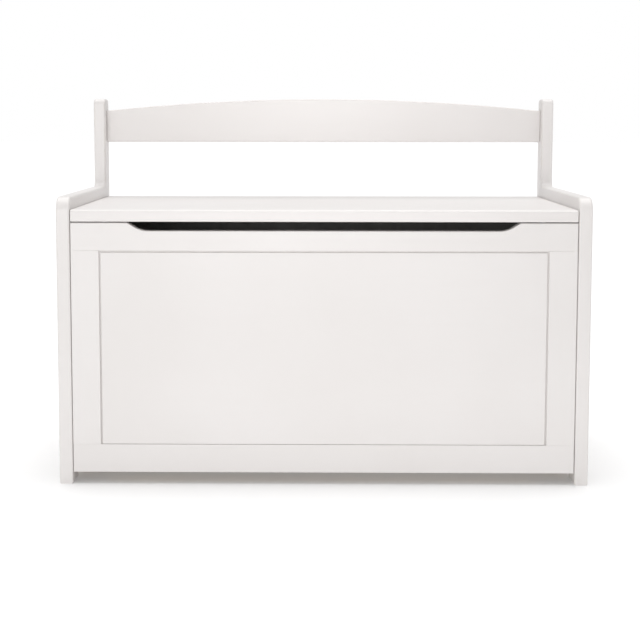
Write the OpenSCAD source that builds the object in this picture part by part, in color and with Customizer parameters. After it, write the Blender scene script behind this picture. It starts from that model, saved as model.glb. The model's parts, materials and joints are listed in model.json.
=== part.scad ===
// Bench-top toy box: a lidded storage chest whose side boards rise into arms and
// rear posts, with an arched backrest rail between the posts.
// X runs left to right, Y front to back, Z up. The origin is on the floor, at the
// middle of the footprint.

/* [Overall] */
// Width over the two side boards
body_w = 845; // [700:5:1000]
// Depth of the side boards, front to back
body_d = 451; // [400:1:520]
// Height to the top of the rear posts
body_h = 620; // [590:1:680]
// Height of the seat surface when the lid is closed
seat_h = 440; // [420:1:460]

/* [Side boards] */
// Thickness of each side board
side_t = 21.5; // [20:0.5:25]
// Height of the arms, which stand a little above the seat
arm_h = 460; // [445:1:475]
// Depth of the rear posts
post_d = 44; // [42:1:60]
// Radius of the arm's front top corner
arm_r = 22; // [5:1:40]
// Radius of the post's two top corners
post_r = 10; // [2:1:18]
// Radius of the hollow where the arm meets the post
crotch_r = 12; // [4:1:20]
// Length of each foot along the floor
foot_l = 55; // [30:1:90]
// Height of the arched cut-out between the feet
arch_h = 16; // [8:1:18]
// Radius of the cut-out's upper corners
arch_r = 14; // [4:1:16]

/* [Front frame] */
// Thickness of the rails and stiles
frame_t = 20; // [18:0.5:24]
// How far the frame's face stands behind the side boards' front edges
frame_setback = 1; // [0:0.5:4]
// Height of the frame's lower edge above the floor
frame_base = 19; // [19:0.5:30]
// Width of the stiles and of the bottom rail
member_w = 45.5; // [42:0.5:55]
// Height of the top rail
top_rail_h = 44.5; // [42:0.1:55]
// Thickness of the centre panel's tongue, which sits in the frame's groove
panel_t = 6; // [4:0.5:7]
// How far the front of the centre panel's tongue lies behind the frame's face
panel_recess = 4; // [2:0.5:6]
// How far the centre panel's raised field lies behind the frame's face
field_recess = 1.2; // [0.5:0.1:2]
// Width of the gap between the raised field and the frame, at the top and sides
field_gap = 2.4; // [0.5:0.1:4]
// Depth of the groove that holds the centre panel
groove_d = 8; // [5:0.5:10]
// Width of the shadow line between the frame's face and each side board
shadow_w = 0.9; // [0.3:0.1:2]
// Depth of that shadow line
shadow_d = 6; // [2:0.5:8]

/* [Finger gap] */
// Width of the level bottom of the finger gap
gap_flat_w = 554; // [300:2:600]
// Depth of the finger gap below the rail's top edge
gap_depth = 13; // [8:0.5:18]
// Radius of the hollow curve at each end of the gap
gap_hollow_r = 42; // [20:1:45]
// Slope of the straight part at each end of the gap, in degrees
gap_slope = 31; // [30:1:45]
// Radius of the rounded shoulder at each end of the gap
gap_shoulder_r = 3; // [1:0.5:8]

/* [Lid] */
// Thickness of the lid board, which is the seat
lid_t = 19; // [16:0.5:22]
// Gap between the lid's underside and the front rail
lid_gap = 1.4; // [1.4:0.1:3]
// Gap between each end of the lid and the side board
lid_end_gap = 1; // [1:0.1:3]
// Radius of the lid's top front edge
lid_nose_r = 5; // [2:0.5:8]
// Radius of the lid's lower front edge
lid_chin_r = 2.5; // [1:0.5:4]
// Diameter of the pads that the closed lid rests on
bumper_dia = 10; // [6:0.5:12]

/* [Back and floor] */
// Thickness of the back board
back_t = 16; // [16:0.5:20]
// How far the back board stands in from the rear edges of the side boards
back_inset = 14.5; // [14.5:0.5:20]
// Thickness of the floor board
floor_t = 9; // [5:0.5:12]
// Width and height of the battens under the floor board
batten_w = 18; // [14:1:22]
// Height of the battens' lower face above the floor
batten_base = 24; // [20:1:30]

/* [Backrest] */
// Thickness of the backrest rail
rest_t = 20; // [18:0.5:22]
// Height of the backrest rail at its middle
rest_h = 79; // [70:1:90]
// Rise of the rail's arched top from its ends to its middle
rest_rise = 21.5; // [5:0.5:25]
// How far the rail's face stands behind the posts' front edges
rest_setback = 18; // [16:1:22]

/* [Hinges] */
// Distance of each friction hinge from the middle of the box
hinge_x = 270; // [200:5:320]
// Outside diameter of a friction hinge's barrel
hinge_barrel_dia = 13; // [12:0.5:13]
// Length of a friction hinge along its barrel
hinge_l = 70; // [60:1:80]
// Length of the fixed housing in the middle of the barrel
hinge_housing_l = 34; // [24:1:36]
// Diameter of a friction hinge's shaft
shaft_dia = 6; // [5:0.5:7]
// Outside diameter of the split sleeve that grips the shaft
sleeve_dia = 10; // [8.5:0.5:10]
// Length of the plain hinge in the middle of the lid
centre_hinge_l = 60; // [50:1:70]
// Outside diameter of the plain hinge's barrel
centre_barrel_dia = 8; // [7:0.5:10]
// Diameter of the plain hinge's pin
pin_dia = 4; // [3:0.5:5]
// Thickness of every hinge leaf
leaf_t = 2; // [1.5:0.1:2.2]
// Depth of the lid leaves, front to back
lid_leaf_d = 30; // [26:1:36]

/* [Fasteners] */
// Diameter of the connector bolts
bolt_dia = 6; // [5:0.5:6.5]
// Diameter of the connector bolts' flat heads
bolt_head_dia = 15; // [12:0.5:16]
// Diameter of the barrel nuts
nut_dia = 10; // [9:0.5:11]
// Length of the barrel nuts
nut_l = 12; // [11:0.5:12]
// Distance of each barrel nut from the end of its member
nut_inset = 30; // [25:1:35]
// Diameter of the wooden dowels
dowel_dia = 8; // [6:0.5:8]
// Length of the wooden dowels
dowel_l = 28; // [24:1:28]
// Shank diameter of the batten screws
batten_screw_dia = 4; // [3:0.5:4.5]
// Length of the batten screws
batten_screw_l = 30; // [26:1:31]
// Shank diameter of the hinge screws
hinge_screw_dia = 3.2; // [2.5:0.1:3.5]
// Length of the hinge screws that go into the back board's top edge
base_screw_l = 22; // [15:1:30]
// Length of the hinge screws that go up into the lid
lid_screw_l = 15; // [10:1:17]

/* [Hidden] */
$fn = 64;
paint = [0.94, 0.92, 0.91];
board = [0.90, 0.88, 0.85];
pine = [0.86, 0.72, 0.50];
beech = [0.80, 0.64, 0.44];
zinc = [0.72, 0.73, 0.75];
nickel = [0.62, 0.63, 0.65];
nylon = [0.20, 0.20, 0.21];
rubber = [0.85, 0.86, 0.86];

eps = 1;                 // overshoot of a cut past the face it opens
run_gap = 0.05;          // radial clearance of a turning fit
joint_gap = 0.3;         // clearance between hinge knuckles
bore_gap = 0.5;          // radial clearance of a bolt in its hole
panel_gap = 1;           // room for the centre panel in its groove, and for the floor
field_foot_gap = 0.4;    // gap under the centre panel's raised field
leaf_gap = 0.2;          // gap between the two closed leaves of a hinge
barrel_gap = 0.5;        // gap between a hinge barrel and the boards

inner_x = body_w / 2 - side_t;
front_y = -body_d / 2;
rear_y = body_d / 2;

frame_y0 = front_y + frame_setback;
frame_y1 = frame_y0 + frame_t;
frame_mid_y = (frame_y0 + frame_y1) / 2;
lid_under_z = seat_h - lid_t;
frame_top_z = lid_under_z - lid_gap;
open_x = inner_x - member_w;
open_z0 = frame_base + member_w;
open_z1 = frame_top_z - top_rail_h;
panel_y0 = frame_y0 + panel_recess;

back_y1 = rear_y - back_inset;
back_y0 = back_y1 - back_t;
back_mid_y = (back_y0 + back_y1) / 2;
batten_top_z = batten_base + batten_w;
corner_gap = 10;                    // keeps the battens clear of the barrel nuts and of each other
batten_half_l = open_x - corner_gap;

post_y = rear_y - post_d;
rest_y0 = post_y + rest_setback;
rest_mid_y = rest_y0 + rest_t / 2;
rest_z0 = body_h - rest_h;
rest_arc_r = (inner_x * inner_x + rest_rise * rest_rise) / (2 * rest_rise);

hinge_y = back_y1 + hinge_barrel_dia / 2 + barrel_gap;
hinge_z = lid_under_z - lid_gap / 2;
mortise_d = leaf_t + leaf_gap / 2 - lid_gap / 2;
screw_head_dia = 2 * hinge_screw_dia;
screw_inset = 9;                    // from the ends and long edges of a hinge leaf
screw_x = hinge_l / 2 - screw_inset;
centre_screw_x = centre_hinge_l / 2 - screw_inset;
centre_knuckle_x = centre_hinge_l / 6;
sleeve_slot_w = 1;
// The cross cut into a screw's head, as parts of the head's diameter and height
cross_l = 0.56;
cross_w = 0.14;
cross_depth = 0.7;

bolt_head_t = 2.2;
bolt_recess = bolt_head_t + 0.2;
bolt_past_nut = 6;
socket_flats = 4;
socket_depth = 4;
dowel_in_side = 12;
dowel_end_gap = 1;
nut_slot_w = 1.2;
nut_slot_depth = 1;
rail_bolt_inset = 19;               // from the frame's top and bottom edges
front_dowel_z = [130, 310];
back_bolt_z = [75, 365];
back_dowel_z = [150, 290];
rest_bolt_z = rest_z0 + 22;
rest_dowel_z = rest_z0 + 43;
stile_dowel_inset = 13;             // from the stile's two long edges, clear of the groove

// Bolt and dowel places on each side board, as [Y, Z, where the nut's hole opens: 1 rear, -1 front]
BOLTS = [
    [frame_mid_y, frame_base + rail_bolt_inset, 1],
    [frame_mid_y, frame_top_z - rail_bolt_inset, 1],
    [back_mid_y, back_bolt_z[0], -1],
    [back_mid_y, back_bolt_z[1], -1],
    [rest_mid_y, rest_bolt_z, 1]
];
SIDE_DOWELS = [
    [frame_mid_y, front_dowel_z[0]],
    [frame_mid_y, front_dowel_z[1]],
    [back_mid_y, back_dowel_z[0]],
    [back_mid_y, back_dowel_z[1]],
    [rest_mid_y, rest_dowel_z]
];
FRAME_DOWEL_X = [open_x + stile_dowel_inset, inner_x - stile_dowel_inset];
LONG_BATTEN_SCREWS = [-300, -100, 100, 300];
SIDE_BATTEN_SCREWS = [-130, 0, 130];
side_batten_y0 = frame_y1 + batten_w + corner_gap;
side_batten_y1 = back_y0 - batten_w - corner_gap;
batten_mid_z = batten_base + batten_w / 2;

// ---- Shared shapes ----

// A block between two corners
module block(low, high) {
    translate(low)
        cube(high - low);
}

// Runs an outline drawn in (Y, Z) along X, centred
module along_x(length) {
    rotate([90, 0, 90])
        linear_extrude(length, center = true)
            children();
}

// Runs an outline drawn in (X, Z) along Y, from y0 to y1
module along_y(y0, y1) {
    translate([0, y1, 0])
        rotate([90, 0, 0])
            linear_extrude(y1 - y0)
                children();
}

// A round bar along X whose middle is at the origin
module bar_x(dia, length) {
    rotate([0, 90, 0])
        cylinder(d = dia, h = length, center = true);
}

// A round bar along Y whose middle is at the origin
module bar_y(dia, length) {
    rotate([90, 0, 0])
        cylinder(d = dia, h = length, center = true);
}

// Repeats a piece on the left as its mirror image
module mirrored(left) {
    mirror([left ? 1 : 0, 0, 0])
        children();
}

// Waste of a rounded outer corner at the origin: the wood lies towards +X and +Y of the outline
module corner_waste(r) {
    difference() {
        translate([-eps, -eps])
            square(r + eps);
        translate([r, r])
            circle(r);
    }
}

// Points along an arc, from angle a0 to a1
function arc(cx, cy, r, a0, a1, steps = 10) =
    [for (i = [0:steps]) let (a = a0 + (a1 - a0) * i / steps) [cx + r * cos(a), cy + r * sin(a)]];

// ---- Fasteners ----

// A countersunk wood screw pointing down, its head's top face at z = 0
module wood_screw(dia, head_dia, length) {
    head_t = (head_dia - dia) / 2;
    half_l = head_dia * cross_l / 2;
    half_w = head_dia * cross_w / 2;
    difference() {
        rotate_extrude()
            polygon([[0, 0], [head_dia / 2, 0], [dia / 2, -head_t], [dia / 2, dia - length], [0, -length]]);
        for (turn = [0, 90])
            rotate([0, 0, turn])
                block([-half_l, -half_w, -head_t * cross_depth], [half_l, half_w, eps]);
    }
}

// Room for that screw in wood: the pilot hole fits the shank
module screw_hole(dia, head_dia, length) {
    head_t = (head_dia - dia) / 2;
    rotate_extrude()
        polygon([[0, eps], [head_dia / 2, eps], [head_dia / 2, 0], [dia / 2, -head_t],
            [dia / 2, dia - length], [0, -length]]);
}

// Places a child at each batten screw, head outwards from the batten
module at_batten_screws(row) {
    if (row == "front")
        for (x = LONG_BATTEN_SCREWS)
            translate([x, frame_y1 + batten_w, batten_mid_z])
                rotate([-90, 0, 0])
                    children();
    if (row == "rear")
        for (x = LONG_BATTEN_SCREWS)
            translate([x, back_y0 - batten_w, batten_mid_z])
                rotate([90, 0, 0])
                    children();
    if (row == "right")
        for (y = SIDE_BATTEN_SCREWS)
            translate([inner_x - batten_w, y, batten_mid_z])
                rotate([0, -90, 0])
                    children();
    if (row == "left")
        mirror([1, 0, 0])
            at_batten_screws("right")
                children();
}

module batten_screw_hole() {
    screw_hole(batten_screw_dia, 2 * batten_screw_dia, batten_screw_l);
}

// A connector bolt for the right-hand side, its head's face at the origin and its tip towards -X
module connector_bolt() {
    reach = side_t + nut_inset + bolt_past_nut - bolt_recess + bolt_head_t;
    difference() {
        union() {
            translate([-bolt_head_t / 2, 0, 0])
                bar_x(bolt_head_dia, bolt_head_t);
            translate([-reach / 2, 0, 0])
                bar_x(bolt_dia, reach);
        }
        rotate([0, -90, 0])
            translate([0, 0, -eps])
                cylinder(d = socket_flats / cos(30), h = socket_depth + eps, $fn = 6);
    }
}

// Room for the right-hand bolts in a side board
module side_bolt_holes() {
    for (b = BOLTS)
        translate([body_w / 2, b[0], b[1]]) {
            translate([-side_t / 2, 0, 0])
                bar_x(bolt_dia + 2 * bore_gap, side_t + 2 * eps);
            translate([-bolt_recess / 2 + eps / 2, 0, 0])
                bar_x(bolt_head_dia + 2 * bore_gap, bolt_recess + eps);
        }
}

// Room for bolt number i and its nut in the right-hand end of a member whose face is at open_y
module member_bolt_hole(i, open_y) {
    b = BOLTS[i];
    depth = nut_inset + bolt_past_nut + eps;
    translate([inner_x - depth / 2 + eps / 2, b[0], b[1]])
        bar_x(bolt_dia + 2 * bore_gap, depth + eps);
    hole_far = b[0] - b[2] * nut_l / 2;
    hole_near = open_y + b[2] * eps;
    translate([inner_x - nut_inset, (hole_far + hole_near) / 2, b[1]])
        bar_y(nut_dia, abs(hole_near - hole_far));
}

// Room for dowel number i across the joint between a side board and its member, right-hand end
module side_dowel_hole(i) {
    d = SIDE_DOWELS[i];
    hole_l = dowel_l + 2 * dowel_end_gap;
    translate([inner_x + dowel_in_side + dowel_end_gap - hole_l / 2, d[0], d[1]])
        bar_x(dowel_dia, hole_l);
}

// Cuts both ends of a member for its bolts and dowels
module both_ends() {
    for (left = [false, true])
        mirrored(left)
            children();
}

// The upright dowels that join a stile to its rails, with extra length at each end
module frame_dowel_set(extra) {
    for (x = FRAME_DOWEL_X, z = [open_z0, open_z1])
        translate([x, frame_mid_y, z])
            cylinder(d = dowel_dia, h = dowel_l + 2 * extra, center = true);
}

// ---- Side boards ----

// The side board's outline in (Y, Z): arm, rear post and two feet
module side_outline() {
    arch_l = body_d - 2 * foot_l;
    corner_r = min(arch_r, arch_h);
    difference() {
        union() {
            translate([front_y, 0])
                square([body_d, arm_h]);
            translate([post_y, 0])
                square([post_d, body_h]);
            translate([post_y - crotch_r, arm_h - eps])
                difference() {
                    square([crotch_r + eps, crotch_r + eps]);
                    translate([0, crotch_r + eps])
                        circle(crotch_r);
                }
        }
        translate([front_y, arm_h])
            mirror([0, 1])
                corner_waste(arm_r);
        translate([post_y, body_h])
            mirror([0, 1])
                corner_waste(post_r);
        translate([rear_y, body_h])
            mirror([1, 0])
                mirror([0, 1])
                    corner_waste(post_r);
        translate([-arch_l / 2, -eps])
            square([arch_l, arch_h - corner_r + eps]);
        translate([-arch_l / 2 + corner_r, -eps])
            square([arch_l - 2 * corner_r, arch_h + eps]);
        for (side = [-1, 1])
            translate([side * (arch_l / 2 - corner_r), arch_h - corner_r])
                circle(corner_r);
    }
}

module side_board(left) {
    color(paint)
        mirrored(left)
            difference() {
                translate([body_w / 2 - side_t / 2, 0, 0])
                    along_x(side_t)
                        side_outline();
                side_bolt_holes();
                for (i = [0:len(SIDE_DOWELS) - 1])
                    side_dowel_hole(i);
                at_batten_screws("right")
                    batten_screw_hole();
            }
}

module left_side_board() {
    side_board(true);
}

module right_side_board() {
    side_board(false);
}

// ---- Front frame ----

// The finger gap's outline in (X, Z): a level bottom, then a hollow curve, a straight slope and a
// rounded shoulder up to the top edge at each end
module finger_gap_outline() {
    bottom_z = frame_top_z - gap_depth;
    span = gap_hollow_r + gap_shoulder_r;
    straight_h = gap_depth - span * (1 - cos(gap_slope));
    run = span * sin(gap_slope) + straight_h / tan(gap_slope);
    hollow = arc(gap_flat_w / 2, bottom_z + gap_hollow_r, gap_hollow_r, -90, -90 + gap_slope);
    shoulder = arc(gap_flat_w / 2 + run, frame_top_z - gap_shoulder_r, gap_shoulder_r, 90 + gap_slope, 90);
    right_end = concat(hollow, shoulder);
    right_x = right_end[len(right_end) - 1][0];
    left_end = [for (i = [len(right_end) - 1:-1:0]) [-right_end[i][0], right_end[i][1]]];
    polygon(concat(right_end, [[right_x, frame_top_z + eps], [-right_x, frame_top_z + eps]], left_end));
}

// The groove that holds the centre panel, cut into all four members
module panel_groove() {
    block([-open_x - groove_d, panel_y0, open_z0 - groove_d],
        [open_x + groove_d, panel_y0 + panel_t, open_z1 + groove_d]);
}

// The narrow rebate that parts the frame's face from the right-hand side board
module shadow_line() {
    block([inner_x - shadow_w, frame_y0 - eps, frame_base - eps],
        [inner_x + eps, frame_y0 + shadow_d, frame_top_z + eps]);
}

module front_rail(z0, z1, bolt) {
    difference() {
        block([-inner_x, frame_y0, z0], [inner_x, frame_y1, z1]);
        panel_groove();
        both_ends() {
            member_bolt_hole(bolt, frame_y1);
            frame_dowel_set(dowel_end_gap);
            shadow_line();
        }
        at_batten_screws("front")
            batten_screw_hole();
    }
}

module front_top_rail() {
    color(paint)
        difference() {
            front_rail(open_z1, frame_top_z, 1);
            along_y(frame_y0 - eps, frame_y1 + eps)
                finger_gap_outline();
        }
}

module front_bottom_rail() {
    color(paint)
        front_rail(frame_base, open_z0, 0);
}

module front_stile(left) {
    color(paint)
        mirrored(left)
            difference() {
                block([open_x, frame_y0, open_z0], [inner_x, frame_y1, open_z1]);
                panel_groove();
                shadow_line();
                frame_dowel_set(dowel_end_gap);
                side_dowel_hole(0);
                side_dowel_hole(1);
            }
}

module front_left_stile() {
    front_stile(true);
}

module front_right_stile() {
    front_stile(false);
}

// A tongue all round sits in the frame's groove, and the raised field nearly fills the opening
module front_centre_panel() {
    edge = groove_d - panel_gap;
    color(paint)
        union() {
            block([-open_x - edge, panel_y0, open_z0 - edge],
                [open_x + edge, panel_y0 + panel_t, open_z1 + edge]);
            block([-open_x + field_gap, frame_y0 + field_recess, open_z0 + field_foot_gap],
                [open_x - field_gap, panel_y0 + panel_t, open_z1 - field_gap]);
        }
}

// ---- Back, floor and battens ----

module back_board() {
    color(paint)
        difference() {
            block([-inner_x, back_y0, frame_base], [inner_x, back_y1, frame_top_z]);
            both_ends() {
                member_bolt_hole(2, back_y0);
                member_bolt_hole(3, back_y0);
                side_dowel_hole(2);
                side_dowel_hole(3);
            }
            for (x = [-hinge_x, hinge_x])
                leaf_mortise(x, hinge_l);
            leaf_mortise(0, centre_hinge_l);
            at_base_screws()
                screw_hole(hinge_screw_dia, screw_head_dia, base_screw_l);
            at_batten_screws("rear")
                batten_screw_hole();
        }
}

// The shallow recess for a hinge leaf in the back board's top edge
module leaf_mortise(x, length) {
    block([x - length / 2, back_y0 - eps, frame_top_z - mortise_d],
        [x + length / 2, back_y1 + eps, frame_top_z + eps]);
}

module floor_board() {
    color(board)
        block([-inner_x + panel_gap, frame_y1 + panel_gap, batten_top_z],
            [inner_x - panel_gap, back_y0 - panel_gap, batten_top_z + floor_t]);
}

module front_floor_batten() {
    color(pine)
        difference() {
            block([-batten_half_l, frame_y1, batten_base],
                [batten_half_l, frame_y1 + batten_w, batten_top_z]);
            at_batten_screws("front")
                batten_screw_hole();
        }
}

module rear_floor_batten() {
    color(pine)
        difference() {
            block([-batten_half_l, back_y0 - batten_w, batten_base],
                [batten_half_l, back_y0, batten_top_z]);
            at_batten_screws("rear")
                batten_screw_hole();
        }
}

module side_floor_batten(left) {
    color(pine)
        mirrored(left)
            difference() {
                block([inner_x - batten_w, side_batten_y0, batten_base],
                    [inner_x, side_batten_y1, batten_top_z]);
                at_batten_screws("right")
                    batten_screw_hole();
            }
}

module left_floor_batten() {
    side_floor_batten(true);
}

module right_floor_batten() {
    side_floor_batten(false);
}

module batten_screws() {
    color(zinc)
        for (row = ["front", "rear", "left", "right"])
            at_batten_screws(row)
                wood_screw(batten_screw_dia, 2 * batten_screw_dia, batten_screw_l);
}

// ---- Backrest ----

module backrest_rail() {
    color(paint)
        difference() {
            along_y(rest_y0, rest_y0 + rest_t)
                intersection() {
                    translate([-inner_x, rest_z0])
                        square([2 * inner_x, rest_h]);
                    translate([0, body_h - rest_arc_r])
                        circle(rest_arc_r, $fn = 1440);
                }
            both_ends() {
                member_bolt_hole(4, rest_y0 + rest_t);
                side_dowel_hole(4);
            }
        }
}

// ---- Lid ----

module lid_outline() {
    difference() {
        translate([front_y, lid_under_z])
            square([back_y1 - front_y, lid_t]);
        translate([front_y, seat_h])
            mirror([0, 1])
                corner_waste(lid_nose_r);
        translate([front_y, lid_under_z])
            corner_waste(lid_chin_r);
    }
}

module lid_board() {
    color(paint)
        difference() {
            along_x(2 * (inner_x - lid_end_gap))
                lid_outline();
            for (x = [-hinge_x, hinge_x])
                lid_mortise(x, hinge_l);
            lid_mortise(0, centre_hinge_l);
            at_lid_screws()
                screw_hole(hinge_screw_dia, screw_head_dia, lid_screw_l);
        }
}

// The shallow recess for a hinge leaf in the lid's underside
module lid_mortise(x, length) {
    block([x - length / 2, back_y1 - lid_leaf_d, lid_under_z - eps],
        [x + length / 2, back_y1 + eps, lid_under_z + mortise_d]);
}

// Thin pads on the front rail that carry the closed lid
module lid_rest_pads() {
    color(rubber)
        for (side = [-1, 1])
            translate([side * (open_x - bumper_dia), frame_mid_y, frame_top_z])
                cylinder(d = bumper_dia, h = lid_gap - run_gap);
}

// ---- Hinges ----

// Places a child at each screw of the fixed leaves, pointing down from the leaf's top face
module at_base_screws() {
    for (x = [-hinge_x, hinge_x], side = [-1, 0, 1])
        translate([x + side * screw_x, back_mid_y, hinge_z - leaf_gap / 2])
            children();
    for (side = [-1, 1])
        translate([side * centre_screw_x, back_mid_y, hinge_z - leaf_gap / 2])
            children();
}

// Places a child at each screw of the lid leaves, pointing up from the leaf's lower face
module at_lid_screws() {
    for (x = [-hinge_x, hinge_x], side = [-1, 1], inset = [screw_inset, lid_leaf_d - screw_inset])
        translate([x + side * screw_x, back_y1 - inset, hinge_z + leaf_gap / 2])
            rotate([180, 0, 0])
                children();
    for (side = [-1, 1])
        translate([side * centre_screw_x, back_y1 - lid_leaf_d / 2, hinge_z + leaf_gap / 2])
            rotate([180, 0, 0])
                children();
}

// A length of hinge barrel between x0 and x1, with the web that ties it to its leaf.
// side is -1 for the fixed leaf, below the pin, and 1 for the lid leaf, above it.
module knuckle(x0, x1, dia, side) {
    translate([(x0 + x1) / 2, hinge_y, hinge_z])
        bar_x(dia, x1 - x0);
    leaf_plate(x0, x1, back_y1 - leaf_t, hinge_y, side);
}

// A hinge plate between two corners, under or over the plane of the pin
module leaf_plate(x0, x1, y0, y1, side) {
    z_mid = hinge_z + side * (leaf_gap + leaf_t) / 2;
    block([x0, y0, z_mid - leaf_t / 2], [x1, y1, z_mid + leaf_t / 2]);
}

// The fixed half of a friction hinge: leaf and hollow housing
module hinge_base(x) {
    color(nickel)
        difference() {
            union() {
                leaf_plate(x - hinge_l / 2, x + hinge_l / 2, back_y0, back_y1, -1);
                knuckle(x - hinge_housing_l / 2, x + hinge_housing_l / 2, hinge_barrel_dia, -1);
            }
            translate([x, hinge_y, hinge_z])
                bar_x(sleeve_dia, hinge_housing_l + 2 * eps);
            at_base_screws()
                screw_hole(hinge_screw_dia, screw_head_dia, base_screw_l);
        }
}

module left_hinge_base() {
    hinge_base(-hinge_x);
}

module right_hinge_base() {
    hinge_base(hinge_x);
}

// The moving half of a friction hinge: leaf and the two end knuckles
module hinge_arm(x) {
    inner = hinge_housing_l / 2 + joint_gap;
    color(nickel)
        difference() {
            union() {
                leaf_plate(x - hinge_l / 2, x + hinge_l / 2, back_y1 - lid_leaf_d, back_y1, 1);
                knuckle(x - hinge_l / 2, x - inner, hinge_barrel_dia, 1);
                knuckle(x + inner, x + hinge_l / 2, hinge_barrel_dia, 1);
            }
            translate([x, hinge_y, hinge_z])
                bar_x(shaft_dia, hinge_l + 2 * eps);
            at_lid_screws()
                screw_hole(hinge_screw_dia, screw_head_dia, lid_screw_l);
        }
}

module left_hinge_arm() {
    hinge_arm(-hinge_x);
}

module right_hinge_arm() {
    hinge_arm(hinge_x);
}

// The shafts turn with the arms
module hinge_shafts() {
    color(zinc)
        for (side = [-1, 1])
            translate([side * hinge_x, hinge_y, hinge_z])
                bar_x(shaft_dia, hinge_l);
}

// Split sleeves, pressed into the housings, grip the shafts and hold the lid at any angle
module hinge_friction_sleeves() {
    color(nylon)
        for (side = [-1, 1])
            translate([side * hinge_x, hinge_y, hinge_z])
                difference() {
                    bar_x(sleeve_dia, hinge_housing_l);
                    bar_x(shaft_dia + 2 * run_gap, hinge_housing_l + 2 * eps);
                    block([-hinge_housing_l, 0, -sleeve_slot_w / 2],
                        [hinge_housing_l, sleeve_dia, sleeve_slot_w / 2]);
                }
}

module centre_hinge_base() {
    color(nickel)
        difference() {
            union() {
                leaf_plate(-centre_hinge_l / 2, centre_hinge_l / 2, back_y0, back_y1, -1);
                knuckle(-centre_knuckle_x, centre_knuckle_x, centre_barrel_dia, -1);
            }
            translate([0, hinge_y, hinge_z])
                bar_x(pin_dia, centre_hinge_l);
            at_base_screws()
                screw_hole(hinge_screw_dia, screw_head_dia, base_screw_l);
        }
}

module centre_hinge_leaf() {
    inner = centre_knuckle_x + joint_gap;
    color(nickel)
        difference() {
            union() {
                leaf_plate(-centre_hinge_l / 2, centre_hinge_l / 2, back_y1 - lid_leaf_d, back_y1, 1);
                knuckle(-centre_hinge_l / 2, -inner, centre_barrel_dia, 1);
                knuckle(inner, centre_hinge_l / 2, centre_barrel_dia, 1);
            }
            translate([0, hinge_y, hinge_z])
                bar_x(pin_dia + 2 * run_gap, centre_hinge_l + 2 * eps);
            at_lid_screws()
                screw_hole(hinge_screw_dia, screw_head_dia, lid_screw_l);
        }
}

module centre_hinge_pin() {
    color(zinc)
        translate([0, hinge_y, hinge_z])
            bar_x(pin_dia, centre_hinge_l);
}

module hinge_base_screws() {
    color(zinc)
        at_base_screws()
            wood_screw(hinge_screw_dia, screw_head_dia, base_screw_l);
}

module hinge_lid_screws() {
    color(zinc)
        at_lid_screws()
            wood_screw(hinge_screw_dia, screw_head_dia, lid_screw_l);
}

// ---- Connector bolts, nuts and dowels ----

module connector_bolts(left) {
    color(zinc)
        mirrored(left)
            for (b = BOLTS)
                translate([body_w / 2 - bolt_recess + bolt_head_t, b[0], b[1]])
                    connector_bolt();
}

module left_connector_bolts() {
    connector_bolts(true);
}

module right_connector_bolts() {
    connector_bolts(false);
}

module barrel_nuts() {
    color(zinc)
        both_ends()
            for (b = BOLTS)
                translate([inner_x - nut_inset, b[0], b[1]])
                    difference() {
                        bar_y(nut_dia, nut_l);
                        bar_x(bolt_dia, nut_dia + 2 * eps);
                        translate([0, b[2] * nut_l / 2, 0])
                            block([-nut_dia, -nut_slot_depth, -nut_slot_w / 2],
                                [nut_dia, nut_slot_depth, nut_slot_w / 2]);
                    }
}

module frame_dowels() {
    color(beech)
        both_ends()
            frame_dowel_set(0);
}

module side_dowels() {
    color(beech)
        both_ends()
            for (d = SIDE_DOWELS)
                translate([inner_x + dowel_in_side - dowel_l / 2, d[0], d[1]])
                    bar_x(dowel_dia, dowel_l);
}

left_side_board();
right_side_board();
front_top_rail();
front_bottom_rail();
front_left_stile();
front_right_stile();
front_centre_panel();
back_board();
floor_board();
front_floor_batten();
rear_floor_batten();
left_floor_batten();
right_floor_batten();
backrest_rail();
lid_board();
lid_rest_pads();
left_hinge_base();
right_hinge_base();
left_hinge_arm();
right_hinge_arm();
hinge_shafts();
hinge_friction_sleeves();
centre_hinge_base();
centre_hinge_leaf();
centre_hinge_pin();
hinge_base_screws();
hinge_lid_screws();
left_connector_bolts();
right_connector_bolts();
barrel_nuts();
frame_dowels();
side_dowels();
batten_screws();
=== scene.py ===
"""Looks for the bench-top toy box: white brushed paint over wood, studio light and camera."""

import json
import math

import bmesh
import bpy
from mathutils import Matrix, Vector
from mathutils.geometry import area_tri


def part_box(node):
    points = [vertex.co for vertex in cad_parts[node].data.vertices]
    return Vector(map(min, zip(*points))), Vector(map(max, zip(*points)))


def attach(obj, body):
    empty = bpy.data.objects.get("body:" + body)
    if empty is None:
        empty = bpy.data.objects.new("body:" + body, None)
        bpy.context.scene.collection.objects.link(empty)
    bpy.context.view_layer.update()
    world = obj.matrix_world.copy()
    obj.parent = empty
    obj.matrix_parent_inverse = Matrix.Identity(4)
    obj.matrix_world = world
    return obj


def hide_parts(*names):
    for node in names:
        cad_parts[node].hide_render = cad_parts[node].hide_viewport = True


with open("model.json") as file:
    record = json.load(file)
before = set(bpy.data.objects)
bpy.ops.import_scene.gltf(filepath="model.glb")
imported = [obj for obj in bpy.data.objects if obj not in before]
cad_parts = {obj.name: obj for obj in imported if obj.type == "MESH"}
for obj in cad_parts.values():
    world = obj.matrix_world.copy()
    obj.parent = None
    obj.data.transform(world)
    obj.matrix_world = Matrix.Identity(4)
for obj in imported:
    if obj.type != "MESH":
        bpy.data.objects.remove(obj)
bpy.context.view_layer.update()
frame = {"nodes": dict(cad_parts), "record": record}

MM = 0.001
AXES = "XYZ"

# ---- What the frame says ----

NODES = frame["nodes"]
BODIES = frame["record"]["behaviour"]["bodies"]
BODY_OF = {node: body for body, members in BODIES.items() for node in members}
SLOT_OF = {row["node"]: row["material_slot"] for row in frame["record"]["subparts"]}

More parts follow.
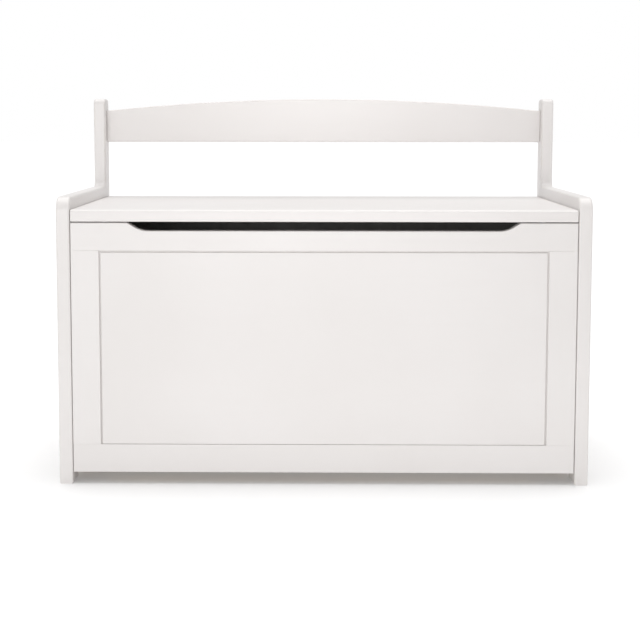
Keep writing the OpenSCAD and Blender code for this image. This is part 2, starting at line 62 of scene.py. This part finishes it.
STILE_LOW, STILE_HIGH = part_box("front_right_stile")
BASE_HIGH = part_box("front_bottom_rail")[1]
LID_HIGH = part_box("lid_board")[1]


# ---- Material building blocks ----

def new_material(name, base, roughness, **constants):
    """A Principled material. constants are socket names, with _ for a space, and their values."""
    material = bpy.data.materials.new(name)
    material.use_nodes = True
    shader = material.node_tree.nodes["Principled BSDF"]
    shader.inputs["Base Color"].default_value = (*base, 1)
    shader.inputs["Roughness"].default_value = roughness
    for socket, value in constants.items():
        shader.inputs[socket.replace("_", " ")].default_value = value
    return material, shader


def add(material, kind, links=(), **values):
    """Adds a node. links are (input name, output socket) pairs; values set inputs or properties."""
    node = material.node_tree.nodes.new(kind)
    for key, value in values.items():
        if hasattr(node, key):
            setattr(node, key, value)
        else:
            node.inputs[key.replace("_", " ")].default_value = value
    for name, socket in links:
        material.node_tree.links.new(socket, node.inputs[name])
    return node


def coordinates(material, stretch, drift=0.0):
    """The piece's own coordinates, scaled, and shifted by an amount that differs from piece to piece."""
    place = add(material, "ShaderNodeTexCoord").outputs["Object"]
    if drift:
        own = add(material, "ShaderNodeObjectInfo").outputs["Random"]
        shift = math_node(material, "MULTIPLY", own, drift)
        moved = add(material, "ShaderNodeVectorMath", [(0, place), (1, shift)], operation="ADD")
        place = moved.outputs[0]
    mapping = add(material, "ShaderNodeMapping", [("Vector", place)])
    mapping.inputs["Scale"].default_value = stretch
    return mapping.outputs["Vector"]


def noise(material, place, scale, detail=3.0, roughness=0.55):
    """Noise between 0 and 1 at a place in space."""
    return add(material, "ShaderNodeTexNoise", [("Vector", place)],
               Scale=scale, Detail=detail, Roughness=roughness).outputs["Fac"]


def ramp(material, fac, stops):
    """A colour ramp from (position, value or colour) stops."""
    node = add(material, "ShaderNodeValToRGB", [("Fac", fac)])
    elements = node.color_ramp.elements
    while len(elements) < len(stops):
        elements.new(0.5)
    for element, (position, colour) in zip(elements, stops):
        element.position = position
        element.color = (*colour, 1) if isinstance(colour, tuple) else (colour, colour, colour, 1)
    return node.outputs["Color"]


def mix(material, fac, a, b):
    """Colour a, turning into b as fac goes from 0 to 1. Each is a socket or a colour."""
    node = add(material, "ShaderNodeMix", data_type="RGBA")
    for index, value in ((0, fac), (6, a), (7, b)):
        if isinstance(value, bpy.types.NodeSocket):
            material.node_tree.links.new(value, node.inputs[index])
        else:
            node.inputs[index].default_value = value if index == 0 else (*value, 1)
    return node.outputs[2]


def math_node(material, operation, a, b):
    """A and b combined by a Math node. Each is a socket or a number."""
    node = add(material, "ShaderNodeMath", operation=operation)
    for index, value in enumerate((a, b)):
        if isinstance(value, bpy.types.NodeSocket):
            material.node_tree.links.new(value, node.inputs[index])
        else:
            node.inputs[index].default_value = value
    return node.outputs[0]


def bump(material, shader, *layers):
    """Stacks bump layers, each (height socket, depth in metres, strength), onto the shader."""
    normal = None
    for height, depth, strength in layers:
        node = add(material, "ShaderNodeBump", [("Height", height)], Distance=depth, Strength=strength)
        if normal is not None:
            material.node_tree.links.new(normal, node.inputs["Normal"])
        normal = node.outputs["Normal"]
    material.node_tree.links.new(normal, shader.inputs["Normal"])


def link(material, socket, shader, name):
    """Feeds a socket into the shader's named input."""
    material.node_tree.links.new(socket, shader.inputs[name])


def vary_roughness(material, shader, fac, low, high):
    """Lets the roughness wander between two values, as a noise does."""
    link(material, ramp(material, fac, [(0.3, low), (0.7, high)]), shader, "Roughness")


# ---- Materials ----

DRIFT = 7.0                         # metres that the paint's texture may shift from piece to piece
WOOD_DRIFT = 5.0
EVEN = (1, 1, 1)                    # the scales of a texture that isn't drawn out


def stretched(axis, along, across):
    """Scales that draw a texture out along one axis."""
    return [along if letter == axis else across for letter in AXES]


PAINT = (0.775, 0.747, 0.734)
PAINT_SHADE = (0.752, 0.722, 0.706)
PRIMER = (0.70, 0.66, 0.60)
EDGE_WEAR = 0.34                    # how far the primer shows through where an edge is worn


def painted_wood(name, axis):
    """Satin white paint brushed along one axis over smooth wood, a little thin on the edges."""
    material, shader = new_material(name, PAINT, 0.4, Coat_Weight=0.12, Coat_Roughness=0.25)
    grain_place = coordinates(material, stretched(axis, 1.0, 14.0), DRIFT)
    brush_place = coordinates(material, stretched(axis, 6.0, 260.0), DRIFT)
    plain_place = coordinates(material, EVEN, DRIFT)
    grain = noise(material, grain_place, 9.0, detail=6.0, roughness=0.62)
    brush = noise(material, brush_place, 3.0, detail=3.0, roughness=0.6)
    peel = noise(material, plain_place, 620.0, detail=2.0)
    cloud = noise(material, plain_place, 3.2, detail=2.0)
    tone = ramp(material, cloud, [(0.32, PAINT_SHADE), (0.62, PAINT)])
    tone = mix(material, ramp(material, grain, [(0.45, 0.0), (0.75, 0.22)]), tone, PAINT_SHADE)
    edge = add(material, "ShaderNodeAttribute", attribute_name="edge").outputs["Fac"]
    blot = noise(material, plain_place, 38.0, detail=5.0, roughness=0.7)
    patch = ramp(material, blot, [(0.50, 0.0), (0.66, 1.0)])
    worn = math_node(material, "MULTIPLY", math_node(material, "MULTIPLY", edge, patch), EDGE_WEAR)
    link(material, mix(material, worn, tone, PRIMER), shader, "Base Color")
    vary_roughness(material, shader, brush, 0.34, 0.46)
    bump(material, shader, (grain, 0.00012, 0.35), (brush, 0.00004, 0.5), (peel, 0.00002, 0.45))
    return material


def white_board():
    """Thin white lacquer over hardboard, with a fine pressed texture."""
    material, shader = new_material("lacquered_board", (0.78, 0.75, 0.72), 0.5)
    place = coordinates(material, EVEN)
    speck = noise(material, place, 900.0, detail=2.0)
    cloud = noise(material, place, 5.0, detail=4.0)
    tone = ramp(material, cloud, [(0.35, (0.74, 0.71, 0.67)), (0.65, (0.79, 0.76, 0.73))])
    link(material, tone, shader, "Base Color")
    vary_roughness(material, shader, speck, 0.44, 0.6)
    bump(material, shader, (speck, 0.00004, 0.6))
    return material


def bare_wood(name, axis, light, dark, roughness):
    """Planed wood with growth rings drawn out along one axis, and fine pores."""
    material, shader = new_material(name, light, roughness)
    ring_place = coordinates(material, stretched(axis, 1.4, 26.0), WOOD_DRIFT)
    pore_place = coordinates(material, stretched(axis, 30.0, 900.0), WOOD_DRIFT)
    wander = noise(material, ring_place, 2.2, detail=4.0)
    rings = add(material, "ShaderNodeTexWave", [("Vector", ring_place)], wave_type="RINGS",
                Scale=1.1, Distortion=5.0, Detail=3.0).outputs["Fac"]
    figure = math_node(material, "ADD", math_node(material, "MULTIPLY", rings, 0.6),
                       math_node(material, "MULTIPLY", wander, 0.4))
    pores = noise(material, pore_place, 1.0, detail=2.0)
    tone = ramp(material, figure, [(0.25, light), (0.85, dark)])
    tone = mix(material, ramp(material, pores, [(0.55, 0.0), (0.8, 0.35)]), tone, dark)
    link(material, tone, shader, "Base Color")
    vary_roughness(material, shader, pores, roughness - 0.08, roughness + 0.08)
    bump(material, shader, (figure, 0.00008, 0.4), (pores, 0.00005, 0.5))
    return material


BLOTCH_SHADE = 0.82                 # how much of the plating's brightness is left in a blotch


def plated_steel(name, tone, roughness, axis):
    """Plated steel with fine drawn scratches and faint blotches in the plating."""
    material, shader = new_material(name, tone, roughness, Metallic=1.0)
    scratch = noise(material, coordinates(material, stretched(axis, 40.0, 1600.0)), 1.0, detail=3.0)
    blotch = noise(material, coordinates(material, EVEN), 130.0, detail=3.0)
    darker = tuple(BLOTCH_SHADE * c for c in tone)
    link(material, ramp(material, blotch, [(0.35, darker), (0.6, tone)]), shader, "Base Color")
    vary_roughness(material, shader, scratch, roughness - 0.08, roughness + 0.1)
    bump(material, shader, (scratch, 0.00001, 0.5))
    return material


def moulded(name, tone, roughness, **constants):
    """Moulded plastic or rubber with a fine spark-eroded texture."""
    material, shader = new_material(name, tone, roughness, **constants)
    grit = noise(material, coordinates(material, EVEN), 2400.0, detail=2.0)
    vary_roughness(material, shader, grit, roughness - 0.06, roughness + 0.08)
    bump(material, shader, (grit, 0.00002, 0.5))
    return material


PINE_LIGHT = (0.76, 0.58, 0.36)
PINE_DARK = (0.55, 0.35, 0.17)

MATERIALS = {
    "paint_x": painted_wood("white_paint_brushed_x", "X"),
    "paint_z": painted_wood("white_paint_brushed_z", "Z"),
    "white_board": white_board(),
    "pine_x": bare_wood("pine_grain_x", "X", PINE_LIGHT, PINE_DARK, 0.6),
    "pine_y": bare_wood("pine_grain_y", "Y", PINE_LIGHT, PINE_DARK, 0.6),
    "beech": bare_wood("beech_grain_x", "X", (0.68, 0.47, 0.28), (0.52, 0.32, 0.17), 0.55),
    "nickel_steel": plated_steel("satin_nickel", (0.60, 0.59, 0.57), 0.30, "X"),
    "zinc_steel": plated_steel("bright_zinc", (0.64, 0.65, 0.67), 0.26, "X"),
    "black_nylon": moulded("black_nylon_moulded", (0.02, 0.02, 0.02), 0.5),
    "clear_rubber": moulded("soft_clear_rubber", (0.72, 0.73, 0.73), 0.35, Transmission_Weight=0.5),
}

UPRIGHT = ("left_side_board", "right_side_board", "front_left_stile", "front_right_stile")
LENGTHWAYS = ("front_floor_batten", "rear_floor_batten")


def material_for(node):
    """The material of a node's slot, with paint strokes and grain along its length."""
    slot = SLOT_OF[node]
    if slot == "white_paint":
        return MATERIALS["paint_z" if node in UPRIGHT else "paint_x"]
    if slot == "pine":
        return MATERIALS["pine_x" if node in LENGTHWAYS else "pine_y"]
    return MATERIALS[slot]


# ---- Eased edges ----
# A rule takes the middle of a sharp edge and its direction, and returns its easing radius in millimetres.

OPEN_X = STILE_LOW.x                # the frame's opening, either side of the middle
OPEN_Z = (STILE_LOW.z, STILE_HIGH.z)
END_X = BASE_HIGH.x - 2 * MM        # further out than this, an upright edge is the frame's end
ARM_RISE_Z = (0.43, 0.46)           # between these heights the side boards' edges get rounder
NEAR = 0.3 * MM
ALONG = 0.99                        # the least part of a unit direction that counts as along an axis

# The radii, in millimetres
BELOW_ARMS, ON_ARMS = 2.7, 4.0      # side boards
FRAME_OUTSIDE, FRAME_END = 1.8, 1.2
SEAM = 0.12                         # where a rail meets a stile
OPENING, UNDER_PANEL = 0.8, 0.3     # round the frame's opening, and at its foot
PANEL_EDGE, PANEL_FOOT = 0.9, 0.2
BACK_EDGE = 0.8
BACKREST_LONG, BACKREST_END = 2.8, 1.4
LID_END, LID_REAR = 1.5, 2.2
FLOOR_EDGE, BATTEN_EDGE = 0.8, 1.4


def near(a, b):
    """True if two places along an axis are the same, but for the CAD's small gaps."""
    return abs(a - b) < NEAR


def runs(along, axis):
    """True if a unit direction runs along that axis."""
    return abs(along[AXES.index(axis)]) > ALONG


def on_faces(node, axis, mid):
    """True if a point lies on one of a node's two outermost planes across that axis."""
    low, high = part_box(node)
    i = AXES.index(axis)
    return near(mid[i], low[i]) or near(mid[i], high[i])


def on_outline(node, mid):
    """True if a point is on an outer edge of a plain board."""
    return sum(on_faces(node, axis, mid) for axis in AXES) >= 2


def side_board_rule(node, mid, along):
    """Rounder on the arms and posts than below them, where the bolts lie close to the edge."""
    if not on_faces(node, "X", mid):
        return 0
    low, high = ARM_RISE_Z
    rise = (mid.z - low) / (high - low)
    return BELOW_ARMS + (ON_ARMS - BELOW_ARMS) * min(max(rise, 0), 1)


def frame_member_rule(node, mid, along):
    """Crisp round the panel, nearly sharp where rails and stiles meet, softer on the outside."""
    if not on_faces(node, "Y", mid) or near(abs(mid.x), BASE_HIGH.x):
        return 0
    if abs(mid.x) > END_X and runs(along, "Z"):
        return FRAME_END
    if runs(along, "X") and any(near(mid.z, z) for z in OPEN_Z):
        if abs(mid.x) > OPEN_X:
            return SEAM
        return UNDER_PANEL if near(mid.z, OPEN_Z[0]) else OPENING
    return OPENING if near(abs(mid.x), OPEN_X) else FRAME_OUTSIDE


def centre_panel_rule(node, mid, along):
    """Softer at the top and sides than at the foot, where the panel rests on the bottom rail."""
    low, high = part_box(node)
    if not near(mid.y, low.y):
        return 0
    return PANEL_FOOT if mid.z < (low.z + high.z) / 2 and runs(along, "X") else PANEL_EDGE


def back_board_rule(node, mid, along):
    """The outlines of the front and back, but not the corners that run through the board."""
    return BACK_EDGE if on_outline(node, mid) and not runs(along, "Y") else 0


def backrest_rule(node, mid, along):
    """Well rounded along the top and bottom, and less at the ends, which meet the posts."""
    if not on_faces(node, "Y", mid):
        return 0
    return BACKREST_END if runs(along, "Z") else BACKREST_LONG


def lid_rule(node, mid, along):
    """The ends and the upper rear edge: the front edge is rounded in the CAD already."""
    if near(abs(mid.x), LID_HIGH.x):
        return LID_END
    return LID_REAR if near(mid.z, LID_HIGH.z) and near(mid.y, LID_HIGH.y) else 0


def plain_rule(radius):
    """The same radius on every outer edge of a plain board."""
    return lambda node, mid, along: radius if on_outline(node, mid) else 0


# ---- Pieces ----

EASED = {
    "left_side_board": side_board_rule,
    "right_side_board": side_board_rule,
    "front_top_rail": frame_member_rule,
    "front_bottom_rail": frame_member_rule,
    "front_left_stile": frame_member_rule,
    "front_right_stile": frame_member_rule,
    "front_centre_panel": centre_panel_rule,
    "back_board": back_board_rule,
    "backrest_rail": backrest_rule,
    "lid_board": lid_rule,
    "floor_board": plain_rule(FLOOR_EDGE),
    "front_floor_batten": plain_rule(BATTEN_EDGE),
    "rear_floor_batten": plain_rule(BATTEN_EDGE),
    "left_floor_batten": plain_rule(BATTEN_EDGE),
    "right_floor_batten": plain_rule(BATTEN_EDGE),
}
LARGEST_EASE = 4 * MM
EASE_SEGMENTS = 4
HOLE_RIM = 25 * MM                  # a ring of sharp edges smaller than this is a hole's rim
CORNER = math.radians(35)           # the least angle of a sharp edge
MERGE = 0.002 * MM                  # vertices closer than this are one
COPLANAR = 0.0006                   # radians between faces that are one flat
SMOOTH = math.cos(math.radians(28)) # faces whose normals' dot product is higher shade as one surface
FLAT = 0.999999                     # and with this one they lie in one plane
FOLD_AREA = 1 * MM * MM             # the least fold that is repaired
BOARD = 0                           # the material index of a board's own faces
EASED_EDGE = 1                      # and of its roundings, until finish_mesh


def outline_edges(bm):
    """The sharp edges that belong to a board's outlines, and not to the rims of its holes."""
    left = {e for e in bm.edges if len(e.link_faces) == 2 and e.calc_face_angle(0) > CORNER}
    found = []
    while left:
        ring, front = set(), [left.pop()]
        while front:
            edge = front.pop()
            ring.add(edge)
            beside = {e for v in edge.verts for e in v.link_edges if e in left}
            left -= beside
            front += beside
        points = [v.co for e in ring for v in e.verts]
        extent = max(max(p[i] for p in points) - min(p[i] for p in points) for i in range(3))
        if extent > HOLE_RIM:
            found += ring
    return found


def outline_mesh(node, rule):
    """A node's mesh with whole flats, and each outline edge's radius as its bevel weight."""
    bm = bmesh.new()
    bm.from_mesh(NODES[node].data)
    bmesh.ops.remove_doubles(bm, verts=bm.verts, dist=MERGE)
    bmesh.ops.dissolve_limit(bm, angle_limit=COPLANAR, verts=bm.verts, edges=bm.edges)
    if rule is frame_member_rule and "rail" in node:
        for x in (-OPEN_X, OPEN_X):
            everything = [*bm.verts, *bm.edges, *bm.faces]
            bmesh.ops.bisect_plane(bm, geom=everything, plane_co=(x, 0, 0), plane_no=(1, 0, 0))
    weight = bm.edges.layers.float.new("bevel_weight_edge")
    for edge in outline_edges(bm):
        a, b = (v.co for v in edge.verts)
        edge[weight] = rule(node, (a + b) / 2, (b - a).normalized()) * MM / LARGEST_EASE
    mesh = bpy.data.meshes.new(node + "_eased")
    bm.to_mesh(mesh)
    bm.free()
    return mesh


def eased_piece(node, rule):
    """A copy of a CAD board with its flat faces whole again and its outline edges rounded."""
    mesh = outline_mesh(node, rule)
    for _ in (BOARD, EASED_EDGE):
        mesh.materials.append(material_for(node))
    piece = bpy.data.objects.new(node + "_eased", mesh)
    bpy.context.scene.collection.objects.link(piece)
    bevel = piece.modifiers.new("ease", "BEVEL")
    bevel.limit_method = "WEIGHT"
    bevel.width = LARGEST_EASE
    bevel.segments = EASE_SEGMENTS
    bevel.use_clamp_overlap = False
    bevel.loop_slide = False
    bevel.material = EASED_EDGE
    evaluated = piece.evaluated_get(bpy.context.evaluated_depsgraph_get())
    rounded = bpy.data.meshes.new_from_object(evaluated)
    piece.modifiers.clear()
    piece.data = rounded
    bpy.data.meshes.remove(mesh)
    finish_mesh(rounded)
    return piece


def flat_region(face, left):
    """Takes from left the faces that lie in one plane with a face and hang together with it."""
    left.discard(face)
    region, front = set(), [face]
    while front:
        here = front.pop()
        region.add(here)
        neighbours = {f for e in here.edges for f in e.link_faces if f in left}
        beside = {f for f in neighbours if f.normal.dot(face.normal) > FLAT}
        left -= beside
        front += beside
    return region


def folds(bm):
    """How much more area each face's triangles have than the face: none, unless it is folded over."""
    extra = {face: -face.calc_area() for face in bm.faces}
    for corners in bm.calc_loop_triangles():
        extra[corners[0].face] += area_tri(*(loop.vert.co for loop in corners))
    return extra


def refill_folds(bm, span):
    """Fills the flats that a rounding folded over again from their outlines.

    The layer span gets the area of each face, and for these the area of the whole flat.
    """
    for face in bm.faces:
        face[span] = face.calc_area()
    extra = folds(bm)
    left = {f for f in bm.faces if f.material_index == BOARD}
    folded = [f for f in left if extra[f] > FOLD_AREA]
    folded.sort(key=lambda f: f.index)
    for region in [flat_region(f, left) for f in folded if f in left]:
        area = sum(f.calc_area() for f in region)
        normal = max(region, key=lambda f: f.calc_area()).normal.copy()
        edges = {e for f in region for e in f.edges}
        rim = {e for e in edges if sum(f in region for f in e.link_faces) == 1}
        bmesh.ops.delete(bm, geom=list(region), context="FACES_ONLY")
        bmesh.ops.delete(bm, geom=list(edges - rim), context="EDGES")
        filled = bmesh.ops.triangle_fill(bm, edges=list(rim), use_beauty=True, normal=normal)
        for face in (g for g in filled["geom"] if isinstance(g, bmesh.types.BMFace)):
            face[span] = area
            if face.normal.dot(normal) < 0:
                face.normal_flip()


def corner_normal(face, vertex, span):
    """A face corner's shading normal: of the faces that meet smoothly there, the widest counts most."""
    total = Vector()
    for other in vertex.link_faces:
        if other.normal.dot(face.normal) > SMOOTH:
            total += other.normal * other[span] ** 2
    return total.normalized()


def finish_mesh(mesh):
    """Repairs the flats, marks the middle of each rounding for the paint's wear, and sets the shading."""
    bm = bmesh.new()
    bm.from_mesh(mesh)
    span = bm.faces.layers.float.new("span")
    edge_mark = bm.verts.layers.float.new("edge")
    refill_folds(bm, span)
    bm.normal_update()
    for vertex in bm.verts:
        rounded = all(f.material_index == EASED_EDGE for f in vertex.link_faces)
        vertex[edge_mark] = 1.0 if rounded else 0.0
    normals = [corner_normal(face, loop.vert, span) for face in bm.faces for loop in face.loops]
    for face in bm.faces:
        face.material_index = BOARD
        face.smooth = True
    bm.to_mesh(mesh)
    bm.free()
    mesh.materials.pop(index=EASED_EDGE)
    mesh.normals_split_custom_set(normals)


for name, node in NODES.items():
    node.data.materials.clear()
    node.data.materials.append(material_for(name))

for name, rule in EASED.items():
    board = eased_piece(name, rule)
    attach(board, BODY_OF[name])
    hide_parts(name)


# ---- Camera, light and floor ----

CAMERA_PLACE = (-0.0091, -2.5185, 0.5764)
PITCH, YAW, ROLL = 0.1005, -0.0124, 0.0007      # radians: down, to the right, and round the view
SENSOR, FOCAL_LENGTH = 36, 82.18                # millimetres
SHIFT = (0.0315, -0.078)                        # in picture widths

# The backdrop's strength where surfaces mirror it, and where it only lights them
MIRRORED = 0.72
AMBIENT = 0.46
FLOOR_GLOW = 0.12
FLOOR_HALF = 40                                 # metres


def look(pitch, yaw, roll):
    """Rotation of a camera that looks along +Y, turned by these angles in radians."""
    level = math.cos(pitch)
    forward = Vector((math.sin(yaw) * level, math.cos(yaw) * level, -math.sin(pitch)))
    turn = forward.to_track_quat("-Z", "Y").to_euler()
    turn.rotate_axis("Z", roll)
    return turn


def make_camera():
    """A camera where the photo's was, with its picture shifted like the photo's crop."""
    data = bpy.data.cameras.new("camera")
    data.sensor_width = SENSOR
    data.lens = FOCAL_LENGTH
    data.shift_x, data.shift_y = SHIFT
    data.clip_end = 100             # past the floor's far edge
    camera = bpy.data.objects.new("camera", data)
    camera.location = CAMERA_PLACE
    camera.rotation_euler = look(PITCH, YAW, ROLL)
    bpy.context.scene.collection.objects.link(camera)
    bpy.context.scene.camera = camera


def make_floor():
    """A white table that glows a little, as a back-lit one does, and takes a soft shadow."""
    material, shader = new_material("studio_floor", (0.85, 0.85, 0.85), 0.9,
                                    Emission_Strength=FLOOR_GLOW, Emission_Color=(1, 1, 1, 1),
                                    Specular_IOR_Level=0.1)
    mesh = bpy.data.meshes.new("studio_floor")
    half = FLOOR_HALF
    corners = [(-half, -half, 0), (half, -half, 0), (half, half, 0), (-half, half, 0)]
    mesh.from_pydata(corners, [], [(0, 1, 2, 3)])
    floor = bpy.data.objects.new("studio_floor", mesh)
    floor.data.materials.append(material)
    bpy.context.scene.collection.objects.link(floor)


def place_light(name, data, location, direction):
    """A light that shines along a direction and can't be seen itself."""
    light = bpy.data.objects.new(name, data)
    light.location = location
    light.rotation_euler = Vector(direction).to_track_quat("-Z", "Y").to_euler()
    light.visible_camera = False
    bpy.context.scene.collection.objects.link(light)


def softbox(name, size, power, location, target):
    """A rectangular light of this width and height in metres, aimed at a point."""
    data = bpy.data.lights.new(name, "AREA")
    data.shape = "RECTANGLE"
    data.size, data.size_y = size
    data.energy = power
    place_light(name, data, location, Vector(target) - Vector(location))


def make_overhead():
    """A very broad light from above and a little behind, for the top faces and a soft shadow."""
    overhead = bpy.data.lights.new("overhead", "SUN")
    overhead.energy = 2.2
    overhead.angle = math.radians(60)
    place_light("overhead", overhead, (0, 0, 3), (0.0, -0.13, -1))


def make_backrest_spot():
    """A soft spot that brightens the backrest."""
    spot = bpy.data.lights.new("backrest_spot", "SPOT")
    spot.energy = 62
    spot.shadow_soft_size = 0.35
    spot.spot_size = math.radians(27)
    spot.spot_blend = 1.0
    place_light("backrest_spot", spot, (-0.05, -2.2, 0.95), (0.08, 2.4, -0.15))


def make_lights():
    """Overhead and backrest lights, a key light in front on the left, and two weak fills."""
    make_overhead()
    softbox("front_key", (2.0, 1.0), 21.0, (-1.1, -3.6, 0.45), (0, -0.2, 0.25))
    make_backrest_spot()
    softbox("left_fill", (0.8, 0.8), 0.3, (-1.3, -1.2, 0.5), (0, -0.2, 0.2))
    softbox("low_fill", (0.9, 0.06), 0.30, (0.05, -0.65, 0.06), (0.05, -0.2, 0.03))


def make_world():
    """A white studio: pure white where it is seen, and lighting the box much less than that."""
    world = bpy.data.worlds.new("studio")
    world.use_nodes = True
    background = world.node_tree.nodes["Background"]
    background.inputs["Color"].default_value = (1, 1, 1, 1)
    rays = add(world, "ShaderNodeLightPath").outputs
    seen = math_node(world, "MULTIPLY", rays["Is Camera Ray"], 1.0 - MIRRORED)
    unlit = math_node(world, "MULTIPLY", rays["Is Diffuse Ray"], AMBIENT - MIRRORED)
    strength = math_node(world, "ADD", math_node(world, "ADD", seen, unlit), MIRRORED)
    link(world, strength, background, "Strength")
    bpy.context.scene.world = world
    bpy.context.scene.view_settings.view_transform = "Standard"


make_camera()
make_world()
make_floor()
make_lights()
